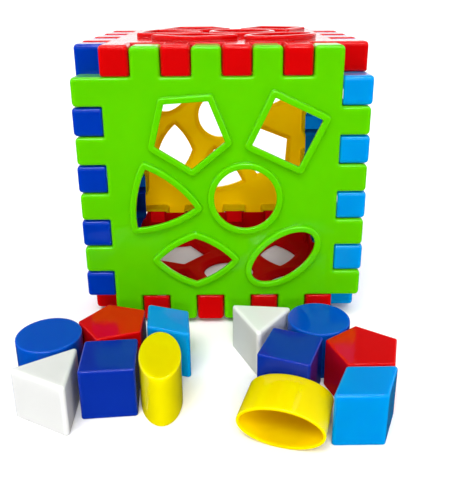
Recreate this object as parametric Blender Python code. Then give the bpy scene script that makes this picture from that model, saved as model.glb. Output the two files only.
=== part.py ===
"""Shape sorter: a cube of six interlocking panels, and twelve hollow blocks that fit its holes.

All six panels are the same moulding, turned so that each finger fills a notch of its neighbour.
Lengths are in metres, +Z is up, and the whole set stands on z = 0 with its front towards -Y.
"""

import math

import bmesh
import bpy
from mathutils import Matrix, Vector

# Cube and panels
CUBE = 0.180  # width of the cube over its skins
CELLS = 10  # finger pitches along one edge, the empty corners among them
CELL = CUBE / CELLS  # finger pitch, and the depth of each panel's tray
FIT = 0.0002  # each side of a finger stands this far inside its pitch
TIP = 0.0006  # finger tips end this far short of the neighbour's skin
SKIN = 0.002  # thickness of a panel's face
WALL = 0.0015  # thickness of the wall that follows the fingers
RIM_WIDTH = 0.0039  # width of the raised rim round each hole
RIM_HEIGHT = 0.003  # height of the rim over the skin
RIM_ROOT = 0.001  # how deep the rim is sunk into the skin, so that the two join

# Holes and blocks
CLEARANCE = 0.0012  # gap all round a block in a hole of the same outline
BLOCK_HEIGHT = 0.029
BLOCK_WALL = 0.0015
BLOCK_TOP = 0.002

# Outline steps: points on a circle or ellipse, and on one bowed side
ROUND_STEPS = 24
SIDE_STEPS = 4

# The set is centred on the origin, so the cube stands back and to the right of it
CUBE_X = 0.0104
CUBE_Y = 0.0599
CUBE_Z = RIM_HEIGHT + CUBE / 2

# Hole shapes. Corners are (angle in degrees, distance from the middle); bow is how far each side bulges.
# The blocks for the two holes with bowed sides have straight sides between corners of their own.
SHAPES = {
    "pentagon": {"corners": [(72 * i, 0.0225) for i in range(5)], "bow": 0.0},
    "square": {"corners": [(90 * i, 0.0225) for i in range(4)], "bow": 0.0},
    "triangle": {
        "corners": [(120 * i, 0.0226) for i in range(3)],
        "bow": 0.0028,
        "block_corners": [(120 * i, 0.0216) for i in range(3)],
    },
    "diamond": {
        "corners": [(0, 0.0236), (90, 0.0153), (180, 0.0236), (270, 0.0153)],
        "bow": 0.0018,
        "block_corners": [(0, 0.0228), (90, 0.0146), (180, 0.0228), (270, 0.0146)],
    },
    "circle": {"radii": (0.0195, 0.0195)},
    "ellipse": {"radii": (0.0236, 0.0126)},
}

# Where each hole lies on a panel, seen from outside: x right, y up, and its turn in degrees
HOLES = {
    "pentagon": (-0.0202, 0.0387, 57.7),
    "square": (0.0392, 0.0384, 19.6),
    "triangle": (-0.0396, -0.0049, 110.0),
    "circle": (0.0140, -0.0034, 0.0),
    "diamond": (-0.0176, -0.0448, 0.0),
    "ellipse": (0.0382, -0.0432, 38.0),
}

# Each face of the cube: its right and up directions seen from outside, and the panel's quarter turns
FACES = {
    "front": {"right": (1, 0, 0), "up": (0, 0, 1), "turns": 0, "colour": "green"},
    "back": {"right": (-1, 0, 0), "up": (0, 0, 1), "turns": 1, "colour": "yellow"},
    "left": {"right": (0, -1, 0), "up": (0, 0, 1), "turns": 0, "colour": "dark_blue"},
    "right": {"right": (0, 1, 0), "up": (0, 0, 1), "turns": 2, "colour": "light_blue"},
    "top": {"right": (1, 0, 0), "up": (0, 1, 0), "turns": 0, "colour": "red"},
    "bottom": {"right": (1, 0, 0), "up": (0, -1, 0), "turns": 1, "colour": "red"},
}

# Where the blocks stand, from the middle of the cube: x, y and turn in degrees.
# "lying" lays a block on its side with its open end towards the front.
BLOCKS = {
    "pentagon_left": (-0.0645, -0.1337, 37),
    "circle_left": (-0.0990, -0.1477, 0),
    "triangle_left": (-0.0895, -0.1795, 63),
    "diamond_left": (-0.0329, -0.1316, 128),
    "square_left": (-0.0612, -0.1684, 50),
    "ellipse_left": (-0.0340, -0.1680, 97),
    "triangle_right": (0.0221, -0.1277, 24),
    "circle_right": (0.0563, -0.1325, 0),
    "diamond_right": (0.0715, -0.1925, 33),
    "pentagon_right": (0.0767, -0.1621, 19),
    "square_right": (0.0368, -0.1610, 23),
    "ellipse_right": (0.0316, -0.1923, -17),
}
LYING = {"ellipse_right"}
BLOCK_COLOURS = {
    "pentagon": "red",
    "square": "deep_blue",
    "triangle": "white",
    "circle": "royal_blue",
    "diamond": "light_blue",
    "ellipse": "yellow",
}

COLOURS = {
    "green": (0.12, 0.66, 0.0),
    "red": (0.72, 0.004, 0.006),
    "yellow": (0.95, 0.72, 0.0),
    "dark_blue": (0.0, 0.035, 0.50),
    "light_blue": (0.0, 0.30, 0.87),
    "royal_blue": (0.0, 0.10, 0.52),
    "deep_blue": (0.01, 0.03, 0.36),
    "white": (0.84, 0.85, 0.80),
}


def clear_scene():
    for obj in list(bpy.data.objects):
        bpy.data.objects.remove(obj, do_unlink=True)


def new_collection(name, helpers=False):
    collection = bpy.data.collections.new(name)
    collection.hide_render = helpers
    bpy.context.scene.collection.children.link(collection)
    return collection


def plastic(name):
    material = bpy.data.materials.new(f"{name}_plastic")
    material.use_nodes = True
    shader = material.node_tree.nodes["Principled BSDF"]
    shader.inputs["Base Color"].default_value = (*COLOURS[name], 1.0)
    shader.inputs["Roughness"].default_value = 0.22
    shader.inputs["Metallic"].default_value = 0.0
    material.diffuse_color = (*COLOURS[name], 1.0)
    return material


def ray(degrees):
    angle = math.radians(degrees)
    return Vector((math.cos(angle), math.sin(angle)))


def cornered_outline(corners, bow, grow):
    """Outline through corners on rays from the middle, with sides bowed outwards, moved out by grow."""
    points = [ray(angle) * radius for angle, radius in corners]
    sides = list(zip(points, points[1:] + points[:1], strict=True))
    if bow == 0.0:
        # Each straight side moves out along its normal, so each corner moves out along its ray.
        start, end = sides[0]
        across = (end - start).normalized()
        normal = Vector((across.y, -across.x))
        scale = 1 + grow / start.dot(normal)
        return [point * scale for point in points]
    outline = []
    for (start, end), (first, _), (second, _) in zip(
        sides, corners, corners[1:] + corners[:1], strict=True
    ):
        half = (end - start).length / 2
        radius = (half**2 + bow**2) / (2 * bow)
        across = (end - start).normalized()
        normal = Vector((across.y, -across.x))
        middle = (start + end) / 2 - normal * (radius - bow)
        radius += grow
        ends = []
        for angle in (first, second):
            # The grown arc meets its neighbour's on the ray through the corner.
            along = ray(angle).dot(middle)
            reach = along + math.sqrt(along**2 - middle.length_squared + radius**2)
            offset = ray(angle) * reach - middle
            ends.append(math.atan2(offset.y, offset.x))
        sweep = (ends[1] - ends[0]) % math.tau
        for step in range(SIDE_STEPS):
            angle = ends[0] + sweep * step / SIDE_STEPS
            outline.append(middle + Vector((math.cos(angle), math.sin(angle))) * radius)
    return outline


def round_outline(radii, grow):
    """Ellipse moved out by grow along its own normals."""
    outline = []
    for step in range(ROUND_STEPS):
        angle = math.tau * step / ROUND_STEPS
        cosine, sine = math.cos(angle), math.sin(angle)
        normal = Vector((radii[1] * cosine, radii[0] * sine)).normalized()
        outline.append(Vector((radii[0] * cosine, radii[1] * sine)) + normal * grow)
    return outline


def shape_outline(shape, grow=0.0):
    form = SHAPES[shape]
    if "radii" in form:
        return round_outline(form["radii"], grow)
    return cornered_outline(form["corners"], form["bow"], grow)


def block_outline(shape, inset=0.0):
    form = SHAPES[shape]
    if "block_corners" in form:
        return cornered_outline(form["block_corners"], 0.0, -inset)
    return shape_outline(shape, -CLEARANCE - inset)


def hole_outline(shape, grow=0.0):
    x, y, turn = HOLES[shape]
    spin = Matrix.Rotation(math.radians(turn), 2)
    return [spin @ point + Vector((x, y)) for point in shape_outline(shape, grow)]


def fingered_outline(inset=0.0):
    """Outline of a panel: a square of eight pitches with four fingers on each side."""
    base = 4 * CELL - FIT - inset
    reach = CUBE / 2 - TIP - inset
    side = []
    for finger in range(4):
        low = (2 * finger - 4) * CELL + FIT + inset
        high = (2 * finger - 3) * CELL - FIT - inset
        if finger:
            side.append((low, -base))
        side += [(low, -reach), (high, -reach), (high, -base)]
    outline = []
    for quarter in range(4):
        spin = Matrix.Rotation(math.radians(90 * quarter), 2)
        outline += [spin @ Vector(point) for point in side]
    return outline


def plates(name, outlines, low, high, collection):
    """One mesh object holding a flat plate for each outline, all between two heights."""
    curve = bpy.data.curves.new(name, "CURVE")
    curve.dimensions = "2D"
    curve.fill_mode = "BOTH"
    curve.extrude = (high - low) / 2
    for outline in outlines:
        spline = curve.splines.new("POLY")
        spline.points.add(len(outline) - 1)
        spline.use_cyclic_u = True
        for point, (x, y) in zip(spline.points, outline, strict=True):
            point.co = (x, y, 0.0, 1.0)
    flat = bpy.data.objects.new(name, curve)
    collection.objects.link(flat)
    graph = bpy.context.evaluated_depsgraph_get()
    mesh = bpy.data.meshes.new_from_object(flat.evaluated_get(graph))
    bpy.data.objects.remove(flat)
    mesh.transform(Matrix.Translation((0, 0, (low + high) / 2)))
    welded = bmesh.new()
    welded.from_mesh(mesh)
    bmesh.ops.remove_doubles(welded, verts=welded.verts, dist=1e-6)
    # Each flat cap becomes one face, so that a Boolean meets no edges inside it.
    bmesh.ops.dissolve_limit(welded, angle_limit=0.001, verts=welded.verts, edges=welded.edges)
    bmesh.ops.recalc_face_normals(welded, faces=welded.faces)
    welded.to_mesh(mesh)
    welded.free()
    solid = bpy.data.objects.new(name, mesh)
    collection.objects.link(solid)
    solid.display_type = "WIRE"
    solid.hide_render = True
    return solid


def combined(name, base, steps):
    """Mesh of a base solid after a row of Boolean steps, each (operation, other solid)."""
    for operation, other in steps:
        boolean = base.modifiers.new(f"{operation.lower()} {other.name}", "BOOLEAN")
        boolean.operation = operation
        boolean.solver = "EXACT"
        boolean.object = other
    graph = bpy.context.evaluated_depsgraph_get()
    mesh = bpy.data.meshes.new_from_object(base.evaluated_get(graph))
    mesh.name = name
    mesh.materials.clear()
    mesh.materials.append(None)
    return mesh


def panel_mesh(cutters):
    """One panel, its skin's outer face at z = 0 and its open tray below."""
    blank = plates("panel_blank", [fingered_outline()], -CELL, 0.0, cutters)
    hollow = plates("panel_hollow", [fingered_outline(WALL)], -1.5 * CELL, -SKIN, cutters)
    rims = plates(
        "panel_rims", [hole_outline(shape, RIM_WIDTH) for shape in HOLES], -RIM_ROOT, RIM_HEIGHT, cutters
    )
    holes = plates("panel_holes", [hole_outline(shape) for shape in HOLES], -CELL, CELL, cutters)
    return combined(
        "panel", blank, [("DIFFERENCE", hollow), ("UNION", rims), ("DIFFERENCE", holes)]
    )


def block_mesh(shape, cutters):
    """One block, open below, its foot at z = 0."""
    outer = block_outline(shape)
    inner = block_outline(shape, BLOCK_WALL)
    blank = plates(f"{shape}_blank", [outer], 0.0, BLOCK_HEIGHT, cutters)
    hollow = plates(f"{shape}_hollow", [inner], -BLOCK_TOP, BLOCK_HEIGHT - BLOCK_TOP, cutters)
    return combined(f"{shape}_block", blank, [("DIFFERENCE", hollow)])


def face_matrix(face):
    """Puts a panel's own frame on a face of the cube, turned by its quarter turns."""
    right = Vector(FACES[face]["right"])
    up = Vector(FACES[face]["up"])
    out = right.cross(up)
    axes = Matrix((right, up, out)).transposed().to_4x4()
    place = Matrix.Translation(Vector((CUBE_X, CUBE_Y, CUBE_Z)) + out * CUBE / 2)
    return place @ axes @ Matrix.Rotation(math.radians(90 * FACES[face]["turns"]), 4, "Z")


def block_matrix(name):
    x, y, turn = BLOCKS[name]
    place = Matrix.Translation((CUBE_X + x, CUBE_Y + y, 0.0))
    spin = Matrix.Rotation(math.radians(turn), 4, "Z")
    if name not in LYING:
        return place @ spin
    # Laid on its flat side, and moved so that x, y stay under the middle of the block.
    half_thickness = SHAPES[name.split("_")[0]]["radii"][1] - CLEARANCE
    lift = Matrix.Translation((0.0, -BLOCK_HEIGHT / 2, half_thickness))
    return place @ spin @ lift @ Matrix.Rotation(math.radians(-90), 4, "X")


def add_part(name, mesh, matrix, material, collection):
    part = bpy.data.objects.new(name, mesh)
    collection.objects.link(part)
    part.matrix_world = matrix
    part.material_slots[0].link = "OBJECT"
    part.material_slots[0].material = material
    return part


def build():
    clear_scene()
    cutters = new_collection("cutters", helpers=True)
    parts = new_collection("shape_sorter")
    plastics = {name: plastic(name) for name in COLOURS}

    panel = panel_mesh(cutters)
    for face, layout in FACES.items():
        colour = plastics[layout["colour"]]
        add_part(f"panel_{face}", panel, face_matrix(face), colour, parts)

    meshes = {shape: block_mesh(shape, cutters) for shape in SHAPES}
    for name in BLOCKS:
        shape = name.split("_")[0]
        colour = plastics[BLOCK_COLOURS[shape]]
        add_part(f"block_{name}", meshes[shape], block_matrix(name), colour, parts)


build()
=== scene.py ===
"""Looks of the shape sorter: six interlocking panels with rimmed holes, and twelve hollow blocks.

Every piece stands for one CAD node and rides on that node's body. Lengths are in metres, +Z is up.
"""

import math

import bmesh
import bpy
from mathutils import Matrix, Vector


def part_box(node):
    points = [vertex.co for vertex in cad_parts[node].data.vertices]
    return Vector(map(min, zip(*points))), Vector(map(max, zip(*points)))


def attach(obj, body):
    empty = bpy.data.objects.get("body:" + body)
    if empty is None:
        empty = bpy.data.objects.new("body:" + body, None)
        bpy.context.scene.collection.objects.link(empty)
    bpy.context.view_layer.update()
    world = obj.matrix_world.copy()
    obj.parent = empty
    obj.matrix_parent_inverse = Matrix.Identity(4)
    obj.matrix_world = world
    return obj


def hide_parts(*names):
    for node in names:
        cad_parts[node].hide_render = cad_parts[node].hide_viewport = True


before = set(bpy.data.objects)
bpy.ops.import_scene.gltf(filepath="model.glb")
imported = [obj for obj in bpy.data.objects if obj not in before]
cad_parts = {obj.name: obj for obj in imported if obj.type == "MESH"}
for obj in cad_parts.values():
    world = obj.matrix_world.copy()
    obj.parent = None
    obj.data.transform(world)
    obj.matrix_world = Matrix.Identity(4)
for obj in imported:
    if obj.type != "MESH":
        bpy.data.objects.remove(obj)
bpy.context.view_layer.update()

# Panel, as in the CAD part
CUBE = 0.180  # width of the cube over its skins
CELL = CUBE / 10  # finger pitch, and the depth of each panel's tray
FIT = 0.0002  # each side of a finger stands this far inside its pitch
TIP = 0.0006  # finger tips end this far short of the neighbour's skin
SKIN = 0.002
WALL = 0.0015
RIM_WIDTH = 0.0039
RIM_HEIGHT = 0.003

# Rounding of the panel's edges
FINGER_ROUND = 0.0027  # corners of the fingers, in plan
NOTCH_ROUND = 0.0008  # corners between the fingers, in plan
EDGE_ROUND = 0.0023  # from the skin down into the tray's wall
LIP_ROUND = 0.0012  # outer edge of the wall's free end
INNER_ROUND = 0.001  # where the wall meets the skin, inside

# Rim round each hole
RIM_FOOT = 0.0004  # fillet where the rim leaves the skin
RIM_OUTER = 0.0011
RIM_INNER = 0.0008
HOLE_CORNER = 0.0007  # corner radius of the hole itself
RIM_CORNER = 0.0026  # corner radius of the rim's outer side
BACK_WIDTH = 0.0039  # the skin is hollowed behind each rim over this width
BACK_LEVEL = 0.0003  # height at which that hollow meets the hole, over the skin's outer face
BACK_ROUND = 0.005

# Blocks
CLEARANCE = 0.0012  # gap all round a block in a hole of the same outline
BLOCK_HEIGHT = 0.029
BLOCK_WALL = 0.0015
BLOCK_TOP = 0.002
BLOCK_LIP = 0.0005

# Finishes, by their place in each piece's list of materials
OUTSIDE, INSIDE = 0, 1

# Brightness of the white surroundings
SKY = 0.45  # for what they light
BACKDROP = 1.0  # where the camera sees them
# In reflections: (height from 0 straight down to 1 straight up, brightness), with one bright band just
# over the horizon and a narrow brighter one high up
GLOSS_BANDS = [
    (0.0, 0.03),
    (0.505, 0.03),
    (0.53, 1.5),
    (0.62, 1.5),
    (0.71, 0.1),
    (0.89, 0.1),
    (0.91, 6.0),
    (0.94, 6.0),
    (0.96, 0.4),
    (1.0, 0.4),
]

# Steps along each arc, and the narrow band kept beside it so that flat faces shade flat
ARC_STEPS = 5
SIDE_STEPS = 6
ROUND_STEPS = 72
BAND = 0.0003
LEAST_ROUND = 0.00005
SAME_PLACE = 6  # two corners of a CAD node are one place if they agree to this many decimals

# Hole shapes: corners are (angle in degrees, distance from the middle), bow is how far a side bulges,
# and block_corner and block_edge round the block's upright edges and its top edge. The blocks for the two
# holes with bowed sides have straight sides between block_corners.
SHAPES = {
    "pentagon": {
        "corners": [(72 * i, 0.0225) for i in range(5)],
        "bow": 0.0,
        "block_corner": 0.0011,
        "block_edge": 0.0009,
    },
    "square": {
        "corners": [(90 * i, 0.0225) for i in range(4)],
        "bow": 0.0,
        "block_corner": 0.0016,
        "block_edge": 0.0011,
    },
    "triangle": {
        "corners": [(120 * i, 0.0226) for i in range(3)],
        "bow": 0.0028,
        "block_corners": [(120 * i, 0.0216) for i in range(3)],
        "block_corner": 0.0016,
        "block_edge": 0.0016,
    },
    "diamond": {
        "corners": [(0, 0.0236), (90, 0.0153), (180, 0.0236), (270, 0.0153)],
        "bow": 0.0018,
        "block_corners": [(0, 0.0228), (90, 0.0146), (180, 0.0228), (270, 0.0146)],
        "block_corner": 0.0017,
        "block_edge": 0.0014,
    },
    "circle": {"radii": (0.0195, 0.0195), "block_corner": 0.0, "block_edge": 0.0008},
    "ellipse": {"radii": (0.0236, 0.0126), "block_corner": 0.0, "block_edge": 0.0009},
}

# Where each hole lies on a panel, seen from outside: x right, y up, and its turn in degrees
HOLES = {
    "pentagon": (-0.0202, 0.0387, 57.7),
    "square": (0.0392, 0.0384, 19.6),
    "triangle": (-0.0396, -0.0049, 110.0),
    "circle": (0.0140, -0.0034, 0.0),
    "diamond": (-0.0176, -0.0448, 0.0),
    "ellipse": (0.0382, -0.0432, 38.0),
}

# Each face of the cube: its right and up directions seen from outside, and the panel's quarter turns
FACES = {
    "front": {"right": (1, 0, 0), "up": (0, 0, 1), "turns": 0, "colour": "green", "body": "front"},
    "back": {"right": (-1, 0, 0), "up": (0, 0, 1), "turns": 1, "colour": "yellow", "body": "back"},
    "left": {"right": (0, -1, 0), "up": (0, 0, 1), "turns": 0, "colour": "dark_blue", "body": "left"},
    "right": {"right": (0, 1, 0), "up": (0, 0, 1), "turns": 2, "colour": "light_blue", "body": "right"},
    "top": {"right": (1, 0, 0), "up": (0, 1, 0), "turns": 0, "colour": "red", "body": "top"},
    "bottom": {"right": (1, 0, 0), "up": (0, -1, 0), "turns": 1, "colour": "red", "body": "base"},
}

BLOCK_COLOURS = {
    "pentagon": "red",
    "square": "deep_blue",
    "triangle": "white",
    "circle": "royal_blue",
    "diamond": "light_blue",
    "ellipse": "yellow",
}
# The one block that lies on its side, and its turn in degrees; the others take theirs from the frame
LYING = {"ellipse_right": -17}

REFRACTION = 1.5
TINTING = 0.7  # how far each plastic's own colour tints its reflections seen face on
SCATTER = 0.006  # how far light travels inside the plastic

# Noise over each plastic, as (scale, detail): slow changes of colour, patches of gloss, and fine ripple
FLOW_NOISE = (22.0, 3.0)
FLOW_TWIST = 1.2
GLOSS_NOISE = (90.0, 6.0)
GLOSS_SPAN = (0.3, 0.7)  # noise at the least roughness and at the greatest
GLOSSIEST = 0.6  # least roughness, as a share of the greatest
RIPPLE_NOISE = (260.0, 2.0)
RIPPLE_STRENGTH = 0.06

# Each finish: its greatest roughness, the height of its ripple, and its specular level
FINISHES = {OUTSIDE: (0.13, 0.0004, 0.5), INSIDE: (0.5, 0.0006, 0.04)}

# Each plastic: its colour, the slightly different colour that it flows into, and a deeper colour for its
# inner faces, which is painted shade for the dimmer light inside the cube and the blocks
PLASTICS = {
    "green": ((0.095, 0.505, 0.0), (0.110, 0.530, 0.0), (0.10, 0.50, 0.0)),
    "red": ((0.580, 0.0012, 0.0018), (0.545, 0.0008, 0.0012), (0.56, 0.001, 0.0015)),
    "yellow": ((0.97, 0.71, 0.0), (0.94, 0.67, 0.0), (0.86, 0.55, 0.0)),
    "dark_blue": ((0.0, 0.028, 0.355), (0.0, 0.034, 0.385), (0.0, 0.028, 0.34)),
    "light_blue": ((0.0, 0.252, 0.665), (0.0, 0.272, 0.695), (0.0, 0.22, 0.62)),
    "royal_blue": ((0.0, 0.070, 0.440), (0.0, 0.085, 0.480), (0.0, 0.07, 0.44)),
    "deep_blue": ((0.002, 0.022, 0.300), (0.003, 0.028, 0.340), (0.002, 0.022, 0.30)),
    "white": ((0.85, 0.86, 0.82), (0.82, 0.83, 0.79), (0.82, 0.83, 0.79)),
}

# Floor
FLOOR_WIDTH = 200.0
FLOOR_DROP = 0.0002  # how far it lies below the pieces
FLOOR_WHITE = 0.99
FLOOR_ROUGHNESS = 0.6

# Camera: where it stands from the cube's middle, its turns in radians, its lens in millimetres, and the
# shift of its picture as a share of the width
CAMERA_PLACE = (0.0030, -0.4391, 0.1165)
CAMERA_YAW, CAMERA_PITCH, CAMERA_ROLL = 0.004, 0.3349, -0.0062
SENSOR_WIDTH = 36.0
LENS = 42.47
PICTURE_SHIFT = -0.0984
NEAREST = 0.01  # nothing closer to the camera than this is drawn


# ---------------------------------------------------------------- outlines and sections


def ray(degrees):
    angle = math.radians(degrees)
    return Vector((math.cos(angle), math.sin(angle)))


def filleted(corners, closed, banded=False):
    """Points through corners (x, y, radius), each corner of some radius rounded by an arc.

    With banded, a point is added on the straight run close to each end of each arc.
    """
    points = []
    for index, (x, y, radius) in enumerate(corners):
        corner = Vector((x, y))
        if radius == 0.0 or (not closed and index in (0, len(corners) - 1)):
            points.append(corner)
            continue
        before = (Vector(corners[index - 1][:2]) - corner).normalized()
        after = (Vector(corners[(index + 1) % len(corners)][:2]) - corner).normalized()
        half = before.angle(after) / 2
        centre = corner + (before + after).normalized() * radius / math.sin(half)
        start = corner + before * radius / math.tan(half) - centre
        sweep = (math.pi - 2 * half) * (1 if before.cross(after) < 0 else -1)
        steps = range(ARC_STEPS + 1)
        arc = [centre + Matrix.Rotation(sweep * step / ARC_STEPS, 2) @ start for step in steps]
        if banded:
            arc = [arc[0] + before * BAND, *arc, arc[-1] + after * BAND]
        points += arc
    return points


def section(corners):
    """An open rounded line, with a point added close to each end of its long straight runs."""
    line = filleted(corners, closed=False)
    points = [line[0]]
    for start, end in zip(line, line[1:]):
        run = end - start
        if run.length > 4 * BAND:
            points += [start + run.normalized() * BAND, end - run.normalized() * BAND]
        points.append(end)
    return points


def bowed_side(start, end, first, second, bow, grow):
    """Points along a bowed side moved out by grow, from its corner on one ray up to the next corner."""
    half = (end - start).length / 2
    radius = (half**2 + bow**2) / (2 * bow)
    across = (end - start).normalized()
    normal = Vector((across.y, -across.x))
    middle = (start + end) / 2 - normal * (radius - bow)
    radius += grow
    offsets = []
    for angle in (first, second):
        along = ray(angle).dot(middle)
        reach = along + math.sqrt(along**2 - middle.length_squared + radius**2)
        offsets.append(ray(angle) * reach - middle)
    sweep = offsets[1].angle_signed(offsets[0])
    return [
        middle + Matrix.Rotation(sweep * step / SIDE_STEPS, 2) @ offsets[0]
        for step in range(SIDE_STEPS)
    ]


def cornered_outline(corners, bow, grow, rounding):
    """Outline through corners on rays from the middle, moved out by grow, its corners rounded."""
    rounding = max(rounding, LEAST_ROUND)
    points = [ray(angle) * radius for angle, radius in corners]
    outline = []
    for index, (angle, _) in enumerate(corners):
        start, end = points[index], points[(index + 1) % len(points)]
        if bow == 0.0:
            # A straight side moves out along its normal, so its corner moves out along its ray.
            across = (end - start).normalized()
            scale = 1 + grow / start.dot(Vector((across.y, -across.x)))
            outline.append((*(start * scale), rounding))
            continue
        following = corners[(index + 1) % len(corners)][0]
        side = bowed_side(start, end, angle, following, bow, grow)
        outline.append((*side[0], rounding))
        outline += [(*point, 0.0) for point in side[1:]]
    return filleted(outline, closed=True, banded=bow == 0.0)


def round_outline(radii, grow):
    """Ellipse moved out by grow along its own normals."""
    outline = []
    for step in range(ROUND_STEPS):
        angle = math.tau * step / ROUND_STEPS
        cosine, sine = math.cos(angle), math.sin(angle)
        normal = Vector((radii[1] * cosine, radii[0] * sine)).normalized()
        outline.append(Vector((radii[0] * cosine, radii[1] * sine)) + normal * grow)
    return outline


def shape_outline(shape, grow, rounding):
    form = SHAPES[shape]
    if "radii" in form:
        return round_outline(form["radii"], grow)
    return cornered_outline(form["corners"], form["bow"], grow, rounding)


def block_outline(shape, grow, rounding):
    form = SHAPES[shape]
    if "block_corners" in form:
        return cornered_outline(form["block_corners"], 0.0, grow, rounding)
    return shape_outline(shape, grow - CLEARANCE, rounding)


def fingered_outline(inset):
    """Outline of a panel moved in by inset: a square of eight pitches with four fingers on each side."""
    base = 4 * CELL - FIT - inset
    reach = CUBE / 2 - TIP - inset
    outer = max(FINGER_ROUND - inset, LEAST_ROUND)
    inner = NOTCH_ROUND + inset
    side = []
    for finger in range(4):
        low = (2 * finger - 4) * CELL + FIT + inset
        high = (2 * finger - 3) * CELL - FIT - inset
        if finger:
            side.append((low, -base, inner))
        side += [(low, -reach, outer), (high, -reach, outer), (high, -base, inner)]
    outline = []
    for quarter in range(4):
        spin = Matrix.Rotation(math.radians(90 * quarter), 2)
        outline += [(*(spin @ Vector((x, y))), radius) for x, y, radius in side]
    return filleted(outline, closed=True, banded=True)


# ---------------------------------------------------------------- meshes


def loft(mesh, rings, finishes):
    """Joins each ring of points to the next with quads, in the next ring's finish.

    Returns the first and last rings' vertices.
    """
    rows = [[mesh.verts.new(point) for point in ring] for ring in rings]
    for low, high, finish in zip(rows, rows[1:], finishes[1:]):
        for index, corner in enumerate(low):
            face = mesh.faces.new((low[index - 1], corner, high[index], high[index - 1]))
            face.material_index = finish
    return rows[0], rows[-1]


def fill(mesh, loops, normal, finish):
    """Fills the flat region between loops of vertices."""
    edges = []
    for loop in loops:
        edges += [mesh.edges.get((loop[index - 1], vertex)) for index, vertex in enumerate(loop)]
    filled = bmesh.ops.triangle_fill(mesh, use_beauty=True, edges=edges, normal=normal)
    for face in filled["geom"]:
        if isinstance(face, bmesh.types.BMFace):
            face.material_index = finish


def finished(mesh, name):
    bmesh.ops.recalc_face_normals(mesh, faces=mesh.faces)
    data = bpy.data.meshes.new(name)
    mesh.to_mesh(data)
    mesh.free()
    data.shade_smooth()
    return data


def panel_mesh():
    """One panel, its skin's outer face at z = 0 and its open tray below."""
    mesh = bmesh.new()
    edge = section(
        [
            (EDGE_ROUND + 2 * BAND, 0.0, 0.0),
            (0.0, 0.0, EDGE_ROUND),
            (0.0, -CELL, LIP_ROUND),
            (WALL, -CELL, WALL - LIP_ROUND - LEAST_ROUND),
            (WALL, -SKIN, INNER_ROUND),
            (WALL + INNER_ROUND + 2 * BAND, -SKIN, 0.0),
        ]
    )
    rings = [
        [point.to_3d() + Vector((0, 0, height)) for point in fingered_outline(inset)]
        for inset, height in edge
    ]
    finishes = [INSIDE if inset > WALL - BAND and height < 0 else OUTSIDE for inset, height in edge]
    first, last = loft(mesh, rings, finishes)
    outer_loops, inner_loops = [first], [last]
    rim = section(
        [
            (RIM_WIDTH + RIM_FOOT + 2 * BAND, 0.0, 0.0),
            (RIM_WIDTH, 0.0, RIM_FOOT),
            (RIM_WIDTH, RIM_HEIGHT, RIM_OUTER),
            (0.0, RIM_HEIGHT, RIM_INNER),
            (0.0, BACK_LEVEL, 2 * BAND),
            (BACK_WIDTH, -SKIN, BACK_ROUND),
            (BACK_WIDTH + RIM_OUTER + 2 * BAND, -SKIN, 0.0),
        ]
    )
    finishes = [
        INSIDE if height < -BAND or (height < BACK_LEVEL and grow < BACK_WIDTH) else OUTSIDE
        for grow, height in rim
    ]
    for shape, (x, y, turn) in HOLES.items():
        spin = Matrix.Rotation(math.radians(turn), 2)
        rings = []
        for grow, height in rim:
            rounding = HOLE_CORNER + (RIM_CORNER - HOLE_CORNER) * grow / RIM_WIDTH
            outline = shape_outline(shape, grow, rounding)
            rings.append([(spin @ point).to_3d() + Vector((x, y, height)) for point in outline])
        first, last = loft(mesh, rings, finishes)
        outer_loops.append(first)
        inner_loops.append(last)
    fill(mesh, outer_loops, (0, 0, 1), OUTSIDE)
    fill(mesh, inner_loops, (0, 0, -1), INSIDE)
    return finished(mesh, "panel")


def block_mesh(shape):
    """One block, open below, its foot at z = 0."""
    corner, edge = SHAPES[shape]["block_corner"], SHAPES[shape]["block_edge"]
    ceiling = BLOCK_HEIGHT - BLOCK_TOP
    profile = section(
        [
            (-edge - 2 * BAND, BLOCK_HEIGHT, 0.0),
            (0.0, BLOCK_HEIGHT, edge),
            (0.0, 0.0, BLOCK_LIP),
            (-BLOCK_WALL, 0.0, BLOCK_LIP),
            (-BLOCK_WALL, ceiling, edge),
            (-BLOCK_WALL - edge - 2 * BAND, ceiling, 0.0),
        ]
    )
    mesh = bmesh.new()
    rings = []
    for grow, height in profile:
        outline = block_outline(shape, grow, corner + grow)
        rings.append([point.to_3d() + Vector((0, 0, height)) for point in outline])
    finishes = [
        OUTSIDE if grow > -BLOCK_WALL / 2 or height > ceiling else INSIDE for grow, height in profile
    ]
    for cap, finish in zip(loft(mesh, rings, finishes), (OUTSIDE, INSIDE)):
        mesh.faces.new(cap).material_index = finish
    return finished(mesh, f"{shape}_block")


# ---------------------------------------------------------------- materials


def grey(level):
    return (level, level, level, 1.0)


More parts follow.
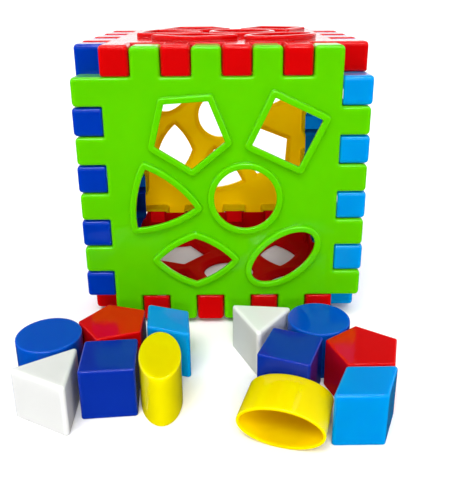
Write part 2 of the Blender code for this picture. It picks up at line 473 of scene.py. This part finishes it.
def plastic(name, finish):
    """Moulded plastic, glossy outside and duller inside, with painted shade as a deeper colour on its
    inner faces: faint flow in its colour, and fine ripple.
    """
    base, flowed, inside = PLASTICS[name]
    # Painted shade: inner faces take the deeper inside colour, darker than the same plastic outside.
    if finish == INSIDE:
        base, flowed = inside, inside
    dullest, ripple_height, specular = FINISHES[finish]
    material = bpy.data.materials.new(f"{name}_plastic_{('outside', 'inside')[finish]}")
    material.use_nodes = True
    nodes, links = material.node_tree.nodes, material.node_tree.links
    shader = nodes["Principled BSDF"]
    shader.inputs["IOR"].default_value = REFRACTION
    shader.inputs["Specular IOR Level"].default_value = specular
    tint = [TINTING * channel + 1 - TINTING for channel in base]
    shader.inputs["Specular Tint"].default_value = (*tint, 1.0)
    shader.inputs["Subsurface Weight"].default_value = 1.0
    shader.inputs["Subsurface Radius"].default_value = (1.0, 1.0, 1.0)
    shader.inputs["Subsurface Scale"].default_value = SCATTER
    place = nodes.new("ShaderNodeTexCoord")

    def noise(scale, detail):
        texture = nodes.new("ShaderNodeTexNoise")
        texture.inputs["Scale"].default_value = scale
        texture.inputs["Detail"].default_value = detail
        links.new(place.outputs["Object"], texture.inputs["Vector"])
        return texture

    flow = noise(*FLOW_NOISE)
    flow.inputs["Distortion"].default_value = FLOW_TWIST
    blend = nodes.new("ShaderNodeMix")
    blend.data_type = "RGBA"
    blend.inputs["A"].default_value = (*base, 1.0)
    blend.inputs["B"].default_value = (*flowed, 1.0)
    links.new(flow.outputs["Fac"], blend.inputs["Factor"])
    links.new(blend.outputs["Result"], shader.inputs["Base Color"])

    gloss = nodes.new("ShaderNodeMapRange")
    gloss.inputs["From Min"].default_value = GLOSS_SPAN[0]
    gloss.inputs["From Max"].default_value = GLOSS_SPAN[1]
    gloss.inputs["To Min"].default_value = dullest * GLOSSIEST
    gloss.inputs["To Max"].default_value = dullest
    links.new(noise(*GLOSS_NOISE).outputs["Fac"], gloss.inputs["Value"])
    links.new(gloss.outputs["Result"], shader.inputs["Roughness"])

    ripple = nodes.new("ShaderNodeBump")
    ripple.inputs["Strength"].default_value = RIPPLE_STRENGTH
    ripple.inputs["Distance"].default_value = ripple_height
    links.new(noise(*RIPPLE_NOISE).outputs["Fac"], ripple.inputs["Height"])
    links.new(ripple.outputs["Normal"], shader.inputs["Normal"])
    return material


def floor_material():
    material = bpy.data.materials.new("pale_floor")
    material.use_nodes = True
    shader = material.node_tree.nodes["Principled BSDF"]
    shader.inputs["Base Color"].default_value = grey(FLOOR_WHITE)
    shader.inputs["Specular IOR Level"].default_value = 0.0
    shader.inputs["Roughness"].default_value = FLOOR_ROUGHNESS
    return material


# ---------------------------------------------------------------- pieces


def cube_middle():
    """Middle of the cube, from the CAD panels' boxes: each is centred along its own two sides."""
    front_low, front_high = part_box("panel_front")
    left_low, left_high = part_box("panel_left")
    x = (front_low.x + front_high.x) / 2
    y = (left_low.y + left_high.y) / 2
    z = (front_low.z + front_high.z) / 2
    return Vector((x, y, z))


def face_matrix(face):
    """Puts a panel's own frame on a face of the cube, turned by its quarter turns."""
    right = Vector(FACES[face]["right"])
    up = Vector(FACES[face]["up"])
    out = right.cross(up)
    axes = Matrix((right, up, out)).transposed().to_4x4()
    place = Matrix.Translation(cube_middle() + out * CUBE / 2)
    return place @ axes @ Matrix.Rotation(math.radians(90 * FACES[face]["turns"]), 4, "Z")


def block_matrix(name):
    """Puts a block where its CAD node stands: round its middle, with a corner where that node has one."""
    node = f"block_{name}"
    if name in LYING:
        low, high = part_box(node)
        middle = (low + high) / 2
        spin = Matrix.Rotation(math.radians(LYING[name]), 4, "Z")
        lift = Matrix.Translation((0.0, -BLOCK_HEIGHT / 2, 0.0))
        return Matrix.Translation(middle) @ spin @ lift @ Matrix.Rotation(math.radians(-90), 4, "X")
    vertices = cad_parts[node].data.vertices
    places = {tuple(round(value, SAME_PLACE) for value in vertex.co) for vertex in vertices}
    plan = [Vector(place[:2]) for place in sorted(places)]
    middle = sum(plan, Vector((0.0, 0.0))) / len(plan)
    corner = max((point - middle for point in plan), key=lambda offset: offset.length)
    turn = math.atan2(corner.y, corner.x)
    return Matrix.Translation((*middle, 0.0)) @ Matrix.Rotation(turn, 4, "Z")


def add_piece(name, mesh, matrix, colour, node, body):
    """A copy of the mesh at its place, in its plastic, standing for one CAD node."""
    placed = mesh.copy()
    placed.name = name
    placed.transform(matrix)
    for finish in (OUTSIDE, INSIDE):
        placed.materials.append(plastics[colour, finish])
    piece = bpy.data.objects.new(name, placed)
    bpy.context.scene.collection.objects.link(piece)
    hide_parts(node)
    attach(piece, body)


def add_pieces():
    panel = panel_mesh()
    for face, layout in FACES.items():
        add_piece(
            f"{face}_panel", panel, face_matrix(face), layout["colour"], f"panel_{face}", layout["body"]
        )
    for shape, colour in BLOCK_COLOURS.items():
        block = block_mesh(shape)
        for side in ("left", "right"):
            name = f"{shape}_{side}"
            add_piece(f"{shape}_block_{side}", block, block_matrix(name), colour, f"block_{name}", name)


# ---------------------------------------------------------------- studio


def add_floor():
    bpy.ops.mesh.primitive_plane_add(size=FLOOR_WIDTH, location=(0.0, 0.0, -FLOOR_DROP))
    floor = bpy.context.object
    floor.name = "floor"
    floor.visible_glossy = False
    floor.data.materials.append(floor_material())


def add_softbox(name, azimuth, elevation, spread, strength, mirrored=True):
    """A distant softbox: azimuth 0 shines from the camera's side, and positive is from the right.

    Angles are in degrees, and mirrored says whether reflections show it.
    """
    light = bpy.data.lights.new(name, "SUN")
    light.angle = math.radians(spread)
    light.energy = strength * math.pi
    lamp = bpy.data.objects.new(name, light)
    lamp.rotation_euler = (math.radians(90 - elevation), 0.0, math.radians(azimuth))
    lamp.visible_glossy = mirrored
    bpy.context.scene.collection.objects.link(lamp)


def add_world():
    """Even white surroundings, which glossy reflections see as two bright bands and dim elsewhere."""
    world = bpy.data.worlds.new("studio")
    world.use_nodes = True
    nodes, links = world.node_tree.nodes, world.node_tree.links
    place = nodes.new("ShaderNodeTexCoord")
    split = nodes.new("ShaderNodeSeparateXYZ")
    links.new(place.outputs["Generated"], split.inputs["Vector"])
    gloss = nodes.new("ShaderNodeValToRGB")
    ramp = gloss.color_ramp.elements
    lowest, *between, highest = GLOSS_BANDS
    for stop, (height, brightness) in zip(ramp, (lowest, highest)):
        stop.position = height
        stop.color = grey(brightness)
    for height, brightness in between:
        ramp.new(height).color = grey(brightness)
    level = nodes.new("ShaderNodeMapRange")
    level.inputs["From Min"].default_value = -1.0
    links.new(split.outputs["Z"], level.inputs["Value"])
    links.new(level.outputs["Result"], gloss.inputs["Fac"])
    path = nodes.new("ShaderNodeLightPath")
    diffuse = nodes.new("ShaderNodeMix")
    diffuse.inputs["A"].default_value = BACKDROP
    diffuse.inputs["B"].default_value = SKY
    links.new(path.outputs["Is Diffuse Ray"], diffuse.inputs["Factor"])
    choice = nodes.new("ShaderNodeMix")
    links.new(path.outputs["Is Glossy Ray"], choice.inputs["Factor"])
    links.new(diffuse.outputs["Result"], choice.inputs["A"])
    links.new(gloss.outputs["Color"], choice.inputs["B"])
    links.new(choice.outputs["Result"], nodes["Background"].inputs["Strength"])
    nodes["Background"].inputs["Color"].default_value = grey(1.0)
    bpy.context.scene.world = world


def add_lights():
    add_softbox("key_softbox", azimuth=-25, elevation=58, spread=25, strength=0.5)
    add_softbox("top_softbox", azimuth=8, elevation=50, spread=20, strength=0.28)
    add_softbox("front_softbox", azimuth=4, elevation=21, spread=7, strength=0.27)
    add_softbox("back_softbox", azimuth=165, elevation=28, spread=40, strength=0.45, mirrored=False)
    add_world()


def add_camera():
    """Camera in front of the cube and above it, looking down at it."""
    camera = bpy.data.cameras.new("camera")
    camera.sensor_width = SENSOR_WIDTH
    camera.lens = LENS
    camera.shift_y = PICTURE_SHIFT
    camera.clip_start = NEAREST
    camera.dof.use_dof = False
    viewer = bpy.data.objects.new("camera", camera)
    viewer.location = cube_middle() + Vector(CAMERA_PLACE)
    viewer.rotation_mode = "QUATERNION"
    turn = Matrix.Rotation(-CAMERA_YAW, 3, "Z") @ Matrix.Rotation(math.pi / 2 - CAMERA_PITCH, 3, "X")
    viewer.rotation_quaternion = (turn @ Matrix.Rotation(CAMERA_ROLL, 3, "Z")).to_quaternion()
    bpy.context.scene.collection.objects.link(viewer)
    bpy.context.scene.camera = viewer


bpy.context.scene.view_settings.view_transform = "Standard"
plastics = {(name, finish): plastic(name, finish) for name in PLASTICS for finish in (OUTSIDE, INSIDE)}
add_pieces()
add_floor()
add_lights()
add_camera()

bpy.context.view_layer.update()
